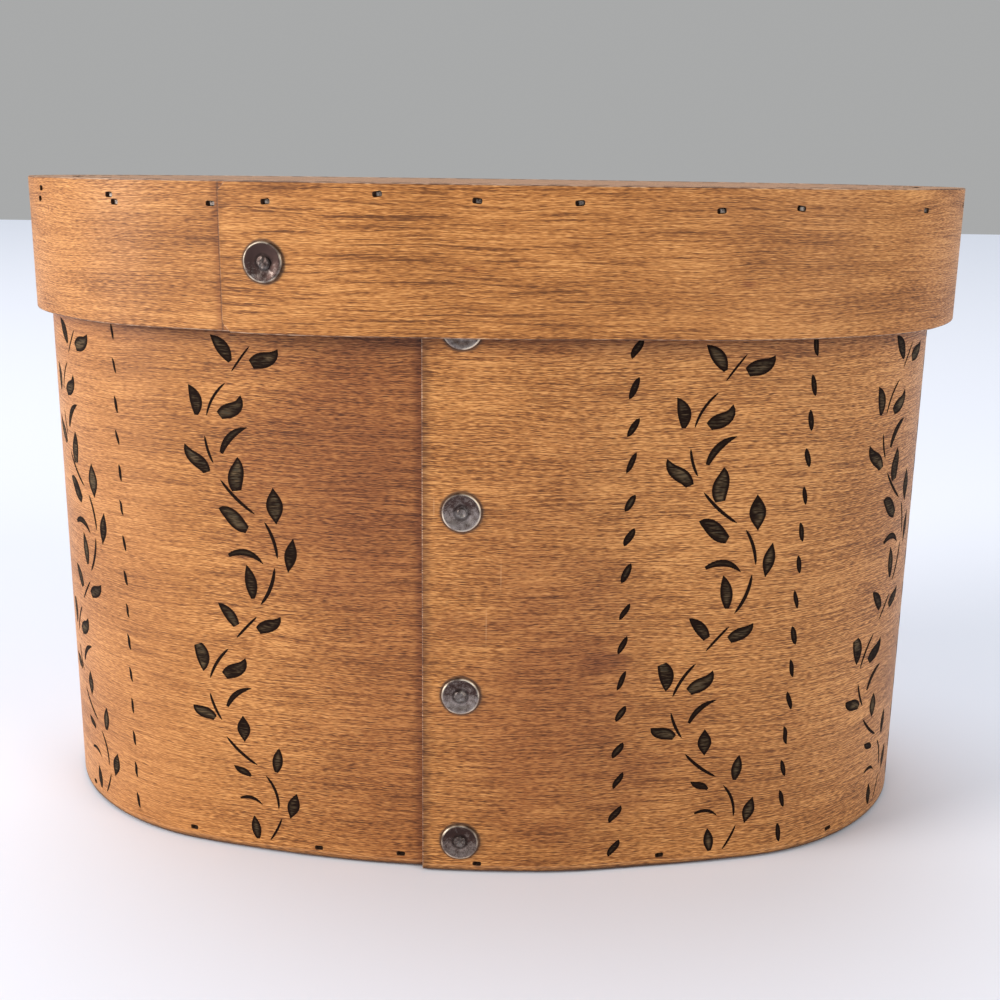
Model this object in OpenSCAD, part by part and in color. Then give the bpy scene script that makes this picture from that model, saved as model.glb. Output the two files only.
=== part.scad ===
// Bentwood oval box with a lift-off lid.
// Each wall is one thin strip of wood bent round an oval until its ends lap.
// The lap is riveted, and a solid board is bradded into the bottom of the box and the top of the lid.
// Origin: centre of the base, where the box stands. +X to the right, +Z up, -Y towards the laps.

/* [Body] */
// Length of the body over its band, without the lap (steps of 1.2 keep the arcs' centres on round numbers)
body_len = 265; // [241:1.2:299.8]
// Depth of the body over its band, without the lap
body_depth = 165.4; // [153.4:1.2:179.8]
// Height of the closed box
total_h = 185; // [150:1:220]
// Thickness of the bent bands
band_t = 1.8; // [1.4:0.1:2.2]
// Thickness of the bottom board
bottom_t = 6; // [4:0.5:8]

/* [Lid] */
// Height of the lid band
lid_h = 37.2; // [30:0.2:50]
// Thickness of the lid's board
lid_board_t = 8; // [6:0.5:10]
// Gap all round between the body band and the inside of the lid band
lid_play = 3.6; // [3.2:0.1:4.5]
// How far the lid sits to the right within that gap
lid_shift = 1.4; // [-1.5:0.1:1.5]

/* [Laps] */
// Length of each lap at its full double thickness
lap_len = 32; // [26:1:36]
// Length over which the inner end is feathered and the outer ply comes down to the oval
taper_len = 34; // [28:1:38]
// Outer end of the body lap, along the front from its middle
body_lap_at = -12.2; // [-30:0.2:0]
// Outer end of the lid lap, along the front from its middle
lid_lap_at = -64.5; // [-66:0.5:-20]
// Clipped corners of the lid lap
lap_clip = 2.4; // [0.5:0.1:5]
// Hairline seam between the two plies of a lap
seam_gap = 0.06; // [0.04:0.01:0.1]

/* [Rivets] */
// Distance from the outer end of the body lap to its column of rivets
body_rivet_in = 10.3; // [8:0.1:14]
// Distance from the outer end of the lid lap to its rivet
lid_rivet_in = 12; // [8:0.1:16]
// Radius of the dished washer under each rivet's outer end
washer_r = 5.1; // [4:0.1:6]
// Height of the washer's rim above the wood
washer_h = 0.8; // [0.6:0.1:1]
// Radius of the rivet's shank
shank_r = 1.5; // [1.2:0.1:1.6]
// Radius of the rivet's flat head, inside the box
rivet_head_r = 3.2; // [2.4:0.1:3.3]
// Thickness of that head
rivet_head_t = 0.9; // [0.6:0.1:1.2]

/* [Brads] */
// Size of a brad's head along the grain
brad_head_w = 2.6; // [1.6:0.1:3]
// Size of a brad's head across the grain
brad_head_h = 1.5; // [1:0.1:1.8]
// Depth that a brad's head is driven below the wood
brad_sunk = 0.35; // [0.1:0.05:0.5]
// Length of a brad
brad_len = 16; // [12:0.5:20]

/* [Hidden] */
$fn = 96;

// The oval is four arcs: two tight ends, and a flat front and back that run on from them.
// Their centres stand on 7-24-25 triangles, so that each arc meets the next on the line through both centres.
front_y = body_depth / 2;
unit = (body_len - body_depth) / 12;
end_x = 7 * unit;
end_r = front_y - unit;
front_cy = 24 * unit;
front_r = 25 * unit + end_r;
front_half_deg = atan2(7, 24);
end_half_deg = 90 - front_half_deg;
deg = PI / 180;

// Heights
body_h = total_h - lid_board_t;
lid_z = total_h - lid_h;

// Offsets of the lid's two faces from the body's outer face
lid_in = lid_play;
lid_out = lid_play + band_t;

// Lap details
taper_steps = 14;
feather_steps = 11;
ply_inset = 0.01;
ply_overlap = 0.3;
wall_overlap = 0.1;
hair = 0.02;

// Heights of the rivets: the lowest is just above the bottom board, and the lid half hides the highest
body_rivet_z = [bottom_t + 3.6, lid_z * 0.355, lid_z * 0.697, lid_z + 2.2];
lid_rivet_z = lid_z + lid_h * 0.48;
hole_clear = 0.05;
washer_rim_w = 0.5;
washer_sheet = 0.4;
peen_r = 1.95;
peen_h = 0.35;

// Brads of the front, where the box has them: [along the band, distance from the band's edge]
bottom_front = [[-128, 3.2], [-80.5, 3.6], [-42, 2.9], [-18.5, 3.4], [2.8, 2.4], [53.7, 3.3], [108, 3.2]];
lid_front = [[-132.5, 5.8], [-131, 3], [-97.2, 4], [-95.4, 5.8], [-67, 5.6], [-51.5, 4.8],
             [-23.6, 2.6], [0.3, 3.9], [24.9, 4.1], [59.7, 5.6], [80.3, 4.9], [122.6, 5.5]];
// The other brads: where they start, and about how far apart and how uneven they are
back_start = 155;
back_pitch = 34;
back_waver = 0.6;
brad_shank_w = 1.2;
brad_shank_h = 1;
brad_head_t = 0.9;

// Length of the oval whose face stands `grow` outside the body's, and of its arcs
function front_len(grow) = 2 * (front_r + grow) * front_half_deg * deg;
function end_len(grow) = 2 * (end_r + grow) * end_half_deg * deg;
function oval_len(grow) = 2 * (front_len(grow) + end_len(grow));

// [centre x, centre y, radius, direction] of the face at `along` mm to the right of the front's middle
function station(along, grow) =
    let (total = oval_len(grow))
    let (s = (along + front_len(grow) / 2 + total) % total)
    let (f = front_len(grow))
    let (e = end_len(grow))
    s < f ? [0, front_cy, front_r + grow, -90 - front_half_deg + s / (front_r + grow) / deg] :
    s < f + e ? [end_x, 0, end_r + grow, -end_half_deg + (s - f) / (end_r + grow) / deg] :
    s < 2 * f + e ? [0, -front_cy, front_r + grow, end_half_deg + (s - f - e) / (front_r + grow) / deg] :
    [-end_x, 0, end_r + grow, 90 + front_half_deg + (s - 2 * f - e) / (end_r + grow) / deg];

// How far a lap's outer ply still stands out, from 1 at the start of the taper to 0 at its end
function drop(u) = 1 - u * u * (3 - 2 * u);

// How far the band's outer face stands out of the oval at `along`, for a lap that ends at lap_at
function lap_rise(along, lap_at) =
    along < lap_at || along > lap_at + lap_len + taper_len ? 0 :
    along < lap_at + lap_len ? band_t :
    band_t * drop((along - lap_at - lap_len) / taper_len);

// The other brads run evenly round the ends and the back, nearer and further from the edge in turn
function back_brads(grow, from_edge) =
    let (stretch = oval_len(grow) - 2 * back_start)
    let (n = floor(stretch / back_pitch))
    [for (i = [0 : n]) [back_start + i * stretch / n, from_edge + back_waver * (1 - 2 * (i % 2))]];

// All brads, as [along the band, height]
bottom_brad_places = concat(bottom_front, back_brads(0, bottom_t / 2));
lid_brad_places = [for (place = concat(lid_front, back_brads(lid_out, lid_board_t / 2)))
                   [place[0], total_h - place[1]]];

// Puts its children at a place on a band's face: local +X points straight out of the wood
module on_band(along, grow, stand, z) {
    at = station(along, grow);
    translate([at[0], at[1], z])
        rotate([0, 0, at[3]])
            translate([at[2] + stand, 0, 0])
                children();
}

// The oval whose face stands `grow` outside the body's
module oval(grow) {
    join_x = (front_r + grow) * 7 / 25;
    intersection() {
        translate([0, front_cy])
            circle(front_r + grow);
        translate([0, -front_cy])
            circle(front_r + grow);
        square([2 * join_x, 3 * front_y], center = true);
    }
    for (side = [-1, 1])
        translate([side * end_x, 0])
            circle(end_r + grow);
}

// Direction, from the front arc's centre, of a place along the front of an oval
function front_deg(along, grow) = -90 + along / (front_r + grow) / deg;

// Point on the front arc, `stand` outside the face that `along` is measured on
function front_point(along, grow, stand) =
    let (a = front_deg(along, grow))
    [(front_r + grow + stand) * cos(a), front_cy + (front_r + grow + stand) * sin(a)];

// A piece of wall along the front arc, between two offsets from the face
module front_wall(grow, stand_in, stand_out, from, to, h) {
    translate([0, front_cy, 0])
        rotate([0, 0, front_deg(from, grow)])
            rotate_extrude(angle = front_deg(to, grow) - front_deg(from, grow))
                translate([front_r + grow + stand_in, 0])
                    square([stand_out - stand_in, h]);
}

// Steps of a taper. Step -1 and the one past the last run on inside the walls that the plies fuse with,
// so every face of a ply stands a hundredth of a millimetre inside theirs.
function taper_u(i) = min(max(i, 0), taper_steps) / taper_steps;
function taper_along(i) =
    taper_len * taper_u(i) + (i < 0 ? -ply_overlap : i > taper_steps ? ply_overlap : 0);
function taper_point(i, start, grow, stand) = front_point(start + taper_along(i), grow, stand);
function outer_ply_face(i) = band_t * drop(taper_u(i)) - ply_inset;
function outer_ply_back(i) =
    band_t * (drop(taper_u(i)) - 1) + (i < taper_steps ? seam_gap : 0) + ply_inset;
function feather_face(i) = band_t * (drop(taper_u(i)) - 1) - ply_inset;

// The two plies where a lap tapers: the outer one comes down as the inner one thins to its feather edge
module taper(grow, start, h) {
    last = taper_steps + 1;
    linear_extrude(h) {
        polygon(concat(
            [for (i = [-1 : last]) taper_point(i, start, grow, outer_ply_face(i))],
            [for (i = [last : -1 : -1]) taper_point(i, start, grow, outer_ply_back(i))]));
        polygon(concat(
            [for (i = [-1 : feather_steps]) taper_point(i, start, grow, feather_face(i))],
            [for (i = [feather_steps : -1 : -1]) taper_point(i, start, grow, ply_inset - band_t)]));
    }
}

// Cuts a corner off the end of a lap: the top one, or the bottom one
module lap_corner(grow, lap_at, z, turn) {
    reach = 3 * lap_clip;
    on_band(lap_at, grow, seam_gap / 2, z)
        rotate([turn, 0, 0])
            translate([0, -reach, -lap_clip / sqrt(2)])
                cube([2 * band_t, 2 * reach, reach]);
}

// One strip bent round the oval, from its feathered inner end to the square end of its outer ply
module bent_strip(grow, lap_at, h, clipped) {
    lap_end = lap_at + lap_len;
    difference() {
        linear_extrude(h)
            difference() {
                oval(grow);
                oval(grow - band_t);
            }
        translate([0, 0, -1])
            front_wall(grow, -2 * band_t, band_t,
                       lap_end + wall_overlap, lap_end + taper_len - wall_overlap, h + 2);
    }
    taper(grow, lap_end, h);
    difference() {
        front_wall(grow, seam_gap, band_t, lap_at, lap_end + wall_overlap, h);
        if (clipped) {
            lap_corner(grow, lap_at, h, 45);
            lap_corner(grow, lap_at, 0, 135);
        }
    }
}

// Hole through both plies for a rivet
module rivet_hole(along, grow, z) {
    on_band(along, grow, 0, z)
        rotate([0, 90, 0])
            cylinder(r = shank_r + hole_clear, h = 6 * band_t, center = true);
}

// Rivet: flat head inside, shank through the lap, end peened over the washer. Local Z points outwards.
module rivet_shape() {
    inner = -2 * band_t - hair;
    seat = washer_sheet + hair;
    rotate_extrude()
        polygon([[0, inner - rivet_head_t],
                 [rivet_head_r - 0.4, inner - rivet_head_t],
                 [rivet_head_r, inner - rivet_head_t + 0.4],
                 [rivet_head_r, inner],
                 [shank_r, inner],
                 [shank_r, seat],
                 [peen_r, seat],
                 [peen_r - 0.3, seat + peen_h * 0.7],
                 [peen_r * 0.5, seat + peen_h],
                 [0, seat + peen_h]]);
}

// Washer dished like a shallow cup round the rivet's end
module washer_shape() {
    rotate_extrude()
        polygon([[shank_r + hole_clear, 0],
                 [washer_r, 0],
                 [washer_r, washer_h * 0.6],
                 [washer_r - washer_rim_w * 0.4, washer_h],
                 [washer_r - washer_rim_w, washer_h],
                 [peen_r + 0.5, washer_sheet],
                 [shank_r + hole_clear, washer_sheet]]);
}

// Puts a rivet or a washer on the outer ply of a lap
module on_lap(along, grow, z) {
    on_band(along, grow, band_t, z)
        rotate([0, 90, 0])
            children();
}

// Brad in its hole; `clear` is the room round it, and `pit` opens the hole to the outside
module brad_shape(clear, pit) {
    head_w = brad_head_w + 2 * clear;
    head_h = brad_head_h + 2 * clear;
    shank_w = brad_shank_w + 2 * clear;
    shank_h = brad_shank_h + 2 * clear;
    translate([-brad_sunk - brad_head_t - clear, -head_w / 2, -head_h / 2])
        cube([brad_head_t + clear + pit, head_w, head_h]);
    translate([-brad_len - clear, -shank_w / 2, -shank_h / 2])
        cube([brad_len - brad_sunk, shank_w, shank_h]);
}

// A row of brads, or of the holes for them
module brads(places, grow, lap_at, clear, pit) {
    for (place = places)
        on_band(place[0], grow, lap_rise(place[0], lap_at), place[1])
            brad_shape(clear, pit);
}

body_rivet_at = body_lap_at + body_rivet_in;
lid_rivet_at = lid_lap_at + lid_rivet_in;
pit_depth = 2;

module body_band() {
    color("peru")
        difference() {
            bent_strip(0, body_lap_at, body_h, false);
            for (z = body_rivet_z)
                rivet_hole(body_rivet_at, 0, z);
            brads(bottom_brad_places, 0, body_lap_at, hair, pit_depth);
        }
}

module bottom_board() {
    color("burlywood")
        difference() {
            linear_extrude(bottom_t)
                oval(-band_t - hair);
            brads(bottom_brad_places, 0, body_lap_at, hair, pit_depth);
        }
}

module bottom_brads() {
    color("dimgray")
        brads(bottom_brad_places, 0, body_lap_at, 0, 0);
}

module body_rivet(i) {
    color("silver")
        on_lap(body_rivet_at, 0, body_rivet_z[i])
            rivet_shape();
}

module body_washer(i) {
    color("lightgray")
        on_lap(body_rivet_at, 0, body_rivet_z[i])
            washer_shape();
}

// The lid's pieces share its place to the right of centre
module in_lid() {
    translate([lid_shift, 0, 0])
        children();
}

module lid_band() {
    color("peru")
        in_lid()
            difference() {
                translate([0, 0, lid_z])
                    bent_strip(lid_out, lid_lap_at, lid_h, true);
                rivet_hole(lid_rivet_at, lid_out, lid_rivet_z);
                brads(lid_brad_places, lid_out, lid_lap_at, hair, pit_depth);
            }
}

module lid_board() {
    color("burlywood")
        in_lid()
            difference() {
                translate([0, 0, body_h])
                    linear_extrude(lid_board_t)
                        oval(lid_in - hair);
                brads(lid_brad_places, lid_out, lid_lap_at, hair, pit_depth);
            }
}

module lid_brads() {
    color("dimgray")
        in_lid()
            brads(lid_brad_places, lid_out, lid_lap_at, 0, 0);
}

module lid_rivet() {
    color("silver")
        in_lid()
            on_lap(lid_rivet_at, lid_out, lid_rivet_z)
                rivet_shape();
}

module lid_washer() {
    color("lightgray")
        in_lid()
            on_lap(lid_rivet_at, lid_out, lid_rivet_z)
                washer_shape();
}

body_band();
bottom_board();
bottom_brads();
body_rivet(0);  // body_rivet_1
body_rivet(1);  // body_rivet_2
body_rivet(2);  // body_rivet_3
body_rivet(3);  // body_rivet_4
body_washer(0);  // body_washer_1
body_washer(1);  // body_washer_2
body_washer(2);  // body_washer_3
body_washer(3);  // body_washer_4
lid_band();
lid_board();
lid_brads();
lid_rivet();
lid_washer();
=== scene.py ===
# %% [markdown]
# # A bentwood oval box
# The box is two thin strips of wood. Each was steamed, bent round an oval form and riveted where its
# ends lap. A board is bradded into the bottom of the box, and another into the top of the lid.
# Everything here follows that making: a strip is modelled flat, with its pits and its stencilled
# ornament, and is then bent round the oval, as a cooper would bend it.

# %% [markdown]
# ## The frame
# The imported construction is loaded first. Its nodes give the sizes and the places, so nothing has to be
# fitted by eye. Lengths are in metres, and `mm` keeps the numbers readable.

# %% Load the frame and measure it
import math
import random

import bpy
from mathutils import Matrix, Vector
from mathutils import noise as lumps


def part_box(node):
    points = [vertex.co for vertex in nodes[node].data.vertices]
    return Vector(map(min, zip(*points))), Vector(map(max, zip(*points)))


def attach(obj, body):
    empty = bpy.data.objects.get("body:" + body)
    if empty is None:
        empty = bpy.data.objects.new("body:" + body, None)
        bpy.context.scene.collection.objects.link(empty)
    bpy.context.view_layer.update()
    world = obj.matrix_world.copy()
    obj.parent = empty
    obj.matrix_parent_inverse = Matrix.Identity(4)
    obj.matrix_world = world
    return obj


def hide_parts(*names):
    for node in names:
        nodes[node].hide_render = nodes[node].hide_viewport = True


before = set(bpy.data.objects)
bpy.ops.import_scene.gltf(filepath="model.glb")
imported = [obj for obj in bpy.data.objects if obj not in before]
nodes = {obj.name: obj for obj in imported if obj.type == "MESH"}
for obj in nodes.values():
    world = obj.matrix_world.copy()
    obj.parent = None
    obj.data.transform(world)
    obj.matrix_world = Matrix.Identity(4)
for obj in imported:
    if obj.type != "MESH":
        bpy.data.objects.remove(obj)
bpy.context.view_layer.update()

mm = 0.001


def tenth(length):
    """A length from the frame's faceted arcs, rounded to the tenth of a millimetre that it stands for."""
    return round(length, 4)


body_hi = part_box("body_band")[1]
lid_lo, lid_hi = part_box("lid_band")
board_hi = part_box("bottom_board")[1]
HALF_LENGTH, HALF_DEPTH = tenth(body_hi.x), tenth(body_hi.y)
BODY_H = tenth(body_hi.z)
LID_Z, TOP_Z = tenth(lid_lo.z), tenth(lid_hi.z)
LID_H = TOP_Z - LID_Z
LID_SHIFT = tenth((lid_lo.x + lid_hi.x) / 2)
LID_OUT = tenth((lid_hi.x - lid_lo.x) / 2) - HALF_LENGTH
BAND_T = tenth(HALF_DEPTH - board_hi.y)
print("box", HALF_LENGTH * 2, HALF_DEPTH * 2, TOP_Z, "band", BAND_T, "lid stands out", LID_OUT)

# %% [markdown]
# ## The oval
# The oval is four arcs: two tight ends, and a flat front and back. Their centres stand on 7-24-25
# triangles, so each arc runs on smoothly into the next. A place on a band is given by `along`, the
# distance to the right of the front's middle, measured on the wood. A negative one lies to the left.

# %% The oval and places on it
UNIT = (HALF_LENGTH - HALF_DEPTH) / 6
END_X = 7 * UNIT
END_R = HALF_DEPTH - UNIT
FRONT_CY = 24 * UNIT
FRONT_R = 25 * UNIT + END_R
FRONT_HALF = math.atan2(7, 24)
END_HALF = math.pi / 2 - FRONT_HALF


def front_length(grow):
    return 2 * (FRONT_R + grow) * FRONT_HALF


def oval_length(grow):
    return 2 * front_length(grow) + 4 * (END_R + grow) * END_HALF


def station(along, grow):
    """Point on the face that stands `grow` outside the body's, and the angle that it faces."""
    front, end = front_length(grow), 2 * (END_R + grow) * END_HALF
    s = (along + front / 2) % (2 * (front + end))
    if s < front:
        centre, radius = (0, FRONT_CY), FRONT_R + grow
        angle = -math.pi / 2 - FRONT_HALF + s / radius
    elif s < front + end:
        centre, radius = (END_X, 0), END_R + grow
        angle = -END_HALF + (s - front) / radius
    elif s < 2 * front + end:
        centre, radius = (0, -FRONT_CY), FRONT_R + grow
        angle = END_HALF + (s - front - end) / radius
    else:
        centre, radius = (-END_X, 0), END_R + grow
        angle = math.pi / 2 + FRONT_HALF + (s - 2 * front - end) / radius
    return Vector((centre[0] + radius * math.cos(angle), centre[1] + radius * math.sin(angle), 0)), angle


def on_oval(along, grow, stand):
    """The same place, `stand` outside the face."""
    point, angle = station(along, grow)
    return point + stand * Vector((math.cos(angle), math.sin(angle), 0))


print("round the body's face", round(oval_length(0), 4), "m")

# %% [markdown]
# ## Helpers for working by hand
# Blender's operators act on what is selected, so each step starts by selecting one object only.
# `edit` goes into edit mode and runs operators there, each with everything selected.

# %% Small tools
def only(piece):
    """Selects one object and nothing else."""
    bpy.ops.object.select_all(action="DESELECT")
    piece.select_set(True)
    bpy.context.view_layer.objects.active = piece


def named(name):
    """Names the object that an operator has just added."""
    piece = bpy.context.object
    piece.name = piece.data.name = name
    return piece


def new_object(name, data):
    """Puts new data into the scene as an object."""
    made = bpy.data.objects.new(name, data)
    bpy.context.collection.objects.link(made)
    return made


def apply_place(piece):
    """Moves an object's place into its mesh."""
    only(piece)
    bpy.ops.object.transform_apply(location=True, rotation=True, scale=True)
    return piece


def primitive(operator, name, stretch=(1, 1, 1), **settings):
    """Adds a primitive with nothing else selected, and moves its place into its mesh."""
    bpy.ops.object.select_all(action="DESELECT")
    operator(**settings)
    piece = named(name)
    piece.scale = stretch
    return apply_place(piece)


def modify(piece, kind, **settings):
    """Adds a modifier and applies it."""
    only(piece)
    modifier = piece.modifiers.new(kind.title(), kind)
    for key, value in settings.items():
        setattr(modifier, key, value)
    bpy.ops.object.modifier_apply(modifier=modifier.name)


def edit(piece, *steps):
    """Runs operators in edit mode, each with the whole mesh selected."""
    only(piece)
    bpy.ops.object.mode_set(mode="EDIT")
    for operator, settings in steps:
        bpy.ops.mesh.select_all(action="SELECT")
        operator(**settings)
    bpy.ops.object.mode_set(mode="OBJECT")


def smooth(piece, degrees=15):
    """Shades curves as smooth. Corners that turn by more than this stay crisp, and their faces flat."""
    only(piece)
    bpy.ops.object.shade_smooth_by_angle(angle=math.radians(degrees))


def joined(pieces, name):
    """Joins pieces into the first."""
    only(pieces[0])
    for piece in pieces:
        piece.select_set(True)
    bpy.ops.object.join()
    return named(name)


def copy_of(piece, matrix):
    """A copy with its own mesh, put in place."""
    copy = new_object(piece.name, piece.data.copy())
    copy.data.transform(matrix)
    return copy


def drop_object(piece):
    bpy.data.objects.remove(piece, do_unlink=True)


# %% [markdown]
# ## Rails to bend the strips round
# A strip is bent by a Curve modifier, which lays its X axis along a curve. The curve is the oval, with
# one addition: for the length of the lap it runs one thickness further out, and then it tapers down to
# the oval. So the strip's outer end lies on its own inner end, as the real one does.

# %% Curves that the strips follow
LAP_LEN = 32 * mm
TAPER_LEN = 34 * mm
BODY_LAP_AT = -12.2 * mm
LID_LAP_AT = -64.5 * mm
RAIL_STEP = 1 * mm


def ease(u):
    return u * u * (3 - 2 * u)


def lap_rise(past_end):
    """How far the strip stands out of the oval, from its distance past the lap's outer end."""
    u = (past_end - LAP_LEN) / TAPER_LEN
    return BAND_T * (1 - ease(min(max(u, 0), 1)))


def make_rail(name, grow, lap_at, shift):
    """A curve for one strip, with a table from `along` to the distance on the curve."""
    length = oval_length(grow) + LAP_LEN + TAPER_LEN
    steps = round(length / RAIL_STEP)
    alongs = [length * i / steps for i in range(steps + 1)]
    points = [on_oval(lap_at + s, grow, lap_rise(s)) + Vector((shift, 0, 0)) for s in alongs]
    curve = bpy.data.curves.new(name, "CURVE")
    curve.dimensions = "3D"
    curve.twist_mode = "Z_UP"
    spline = curve.splines.new("POLY")
    spline.points.add(steps)
    for place, point in zip(spline.points, points):
        place.co = (*point, 1)
    rail = new_object(name, curve)
    travelled = [0.0]
    for a, b in zip(points, points[1:]):
        travelled.append(travelled[-1] + (b - a).length)
    return {"curve": rail, "grow": grow, "lap_at": lap_at, "shift": shift, "length": travelled[-1],
            "step": length / steps, "travelled": travelled}


def rail_x(rail, along):
    """The place on a flat strip that ends up at `along` on the oval."""
    past_end = (along - rail["lap_at"]) % oval_length(rail["grow"])
    i, part = divmod(past_end / rail["step"], 1)
    near, far = rail["travelled"][int(i)], rail["travelled"][int(i) + 1]
    return near + (far - near) * part


def bend(piece, rail):
    """Lays a flat piece along the rail: its X runs along, its Z stays up, and -Y faces outwards."""
    modify(piece, "CURVE", object=rail["curve"], deform_axis="POS_X")


body_rail = make_rail("body_rail", 0, BODY_LAP_AT, 0)
lid_rail = make_rail("lid_rail", LID_OUT, LID_LAP_AT, LID_SHIFT)
print("strips", round(body_rail["length"], 4), round(lid_rail["length"], 4), "m long")

# %% [markdown]
# ## Where the brads and the rivets are
# The construction already has the brads and the rivets. Each brad is an island in its node's mesh, so
# the strips' pits can be cut exactly where the islands are. `along_of` turns a point into a place on a band.

# %% Read the places from the frame
SEARCH_STEPS, FINE_STEPS = 1400, 20
WELD = 0.01 * mm
TIP_REACH = 4 * mm


def along_of(point, rail):
    """The nearest place along a band to a point: a coarse search all round, then a fine one."""
    flat = Vector((point.x - rail["shift"], point.y, 0))
    total = oval_length(rail["grow"])

    def off(along):
        return (station(along, rail["grow"])[0] - flat).length

    best = min(range(SEARCH_STEPS), key=lambda i: off(total * i / SEARCH_STEPS))
    fine = [total * (best + k / FINE_STEPS) / SEARCH_STEPS for k in range(-FINE_STEPS, FINE_STEPS + 1)]
    return min(fine, key=off)


def brad_places(node, rail):
    """Where the outer end of each brad in a node is: the place along the band, and the height."""
    copy = copy_of(nodes[node], Matrix())
    edit(copy, (bpy.ops.mesh.remove_doubles, {"threshold": WELD}), (bpy.ops.mesh.separate, {"type": "LOOSE"}))
    found = []
    for brad in list(bpy.context.selected_objects):
        points = [vertex.co.copy() for vertex in brad.data.vertices]
        tip = max(points, key=lambda point: point.xy.length)
        near = [point for point in points if (point - tip).length < TIP_REACH]
        middle = sum(near, Vector()) / len(near)
        found.append((along_of(middle, rail), middle.z))
        drop_object(brad)
    return found


def washer_place(node, rail):
    """The same for the middle of a washer."""
    lo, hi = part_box(node)
    middle = (lo + hi) / 2
    return along_of(middle, rail), middle.z


body_brads = brad_places("bottom_brads", body_rail)
lid_brads = brad_places("lid_brads", lid_rail)
body_rivet_places = [washer_place(f"body_washer_{i}", body_rail) for i in range(1, 5)]
lid_rivet_place = washer_place("lid_washer", lid_rail)
washer_lo, washer_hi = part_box("lid_washer")
WASHER_R = tenth((washer_hi.z - washer_lo.z) / 2) / mm
print(len(body_brads), "brads in the body,", len(lid_brads), "in the lid")
print("rivets", [(round(a / mm, 1), round(z / mm, 1)) for a, z in body_rivet_places + [lid_rivet_place]])

# %% [markdown]
# ## Building shaders in code
# The materials are procedural, so they need many small nodes. These helpers add one node each, and link
# or set its inputs, so that each effect below reads like a formula. A socket knows the node tree that it
# belongs to, so a helper that is given a socket puts its node into that tree.

# %% Shader helpers
UV_NAME = "place"


def put(value, socket):
    """Links a socket, or sets a plain value."""
    if isinstance(value, bpy.types.NodeSocket):
        socket.id_data.links.new(value, socket)
    else:
        socket.default_value = value


def fill(node, inputs):
    """Links or sets some of a node's inputs."""
    for key, value in inputs.items():
        put(value, node.inputs[key])
    return node


def add(tree, kind, inputs=None, **settings):
    """Adds one shader node."""
    made = tree.nodes.new("ShaderNode" + kind)
    for key, value in settings.items():
        setattr(made, key, value)
    return fill(made, inputs or {})


def tree_of(*values):
    """The node tree of the first value that is a socket."""
    return next(value.id_data for value in values if isinstance(value, bpy.types.NodeSocket))


def maths(operation, *values):
    return add(tree_of(*values), "Math", dict(enumerate(values)), operation=operation).outputs[0]


def plus(a, b):
    return maths("ADD", a, b)


def minus(a, b):
    return maths("SUBTRACT", a, b)


def times(a, b):
    return maths("MULTIPLY", a, b)


def swing(value, reach):
    """Turns a noise, which lies about a half, into a swing about nought."""
    return times(minus(value, 0.5), reach)


def vector_maths(operation, *values):
    made = add(tree_of(*values), "VectorMath", dict(enumerate(values)), operation=operation)
    return made.outputs["Value" if operation in ("LENGTH", "DISTANCE") else "Vector"]


def axis_of(vector, axis):
    return add(tree_of(vector), "SeparateXYZ", {0: vector}).outputs[axis]


def noise(vector, factors, detail=2.0, roughness=0.5):
    """Smooth noise whose features are about 1 / factors long in each direction."""
    place = vector_maths("MULTIPLY", vector, factors)
    inputs = {"Vector": place, "Scale": 1.0, "Detail": detail, "Roughness": roughness}
    return add(tree_of(vector), "TexNoise", inputs).outputs[0]


def remap(value, *ranges):
    """Eases a value from one range (low, high) to another (low, high), or to 0 and 1."""
    inputs = dict(enumerate((value, *ranges, 0.0, 1.0)[:5]))
    return add(tree_of(value), "MapRange", inputs, interpolation_type="SMOOTHSTEP").outputs[0]


def mix(share, a, b, blend="MIX"):
    inputs = {0: share, 6: a, 7: b}
    return add(tree_of(a, b), "Mix", inputs, data_type="RGBA", blend_type=blend).outputs[2]


def ramp(value, stops):
    made = add(tree_of(value), "ValToRGB", {0: value})
    made.color_ramp.elements[0].position, made.color_ramp.elements[1].position = stops[0][0], stops[-1][0]
    for position, colour in stops[1:-1]:
        made.color_ramp.elements.new(position)
    for element, (position, colour) in zip(made.color_ramp.elements, stops):
        element.color = (*colour, 1)
    return made.outputs[0]


def new_group(name, inputs, outputs):
    """A node group. Its inputs have a number or a vector to start from, and its outputs are numbers."""
    tree = bpy.data.node_groups.new(name, "ShaderNodeTree")
    for socket, value in inputs.items():
        kind = "NodeSocketVector" if isinstance(value, tuple) else "NodeSocketFloat"
        tree.interface.new_socket(socket, in_out="INPUT", socket_type=kind).default_value = value
    for socket in outputs:
        tree.interface.new_socket(socket, in_out="OUTPUT", socket_type="NodeSocketFloat")
    given = tree.nodes.new("NodeGroupInput").outputs
    return tree, given, tree.nodes.new("NodeGroupOutput")


def use_group(group, **inputs):
    return add(tree_of(*inputs.values()), "Group", inputs, node_tree=group).outputs


def bumps(height, strength, distance):
    """A normal that rises and falls with a height."""
    inputs = {"Height": height, "Strength": strength, "Distance": distance}
    return add(tree_of(height), "Bump", inputs).outputs[0]


def stored(tree, name):
    """A value that is stored with the piece's own vertices."""
    return add(tree, "Attribute", attribute_name=name).outputs["Fac"]


def new_material(name):
    """An empty material with a Principled BSDF. Returns the material, its tree and the BSDF."""
    material = bpy.data.materials.new(name)
    material.use_nodes = True
    tree = material.node_tree
    return material, tree, tree.nodes["Principled BSDF"]


def plain_material(name, colour, roughness):
    material, tree, shader = new_material(name)
    fill(shader, {"Base Color": (*colour, 1), "Roughness": roughness})
    return material


def wood_place(tree):
    """The place on the wood in millimetres: X along the grain, Y across it."""
    uv = add(tree, "UVMap", uv_map=UV_NAME).outputs[0]
    return vector_maths("MULTIPLY", uv, (1 / mm, 1 / mm, 1 / mm))


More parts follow.
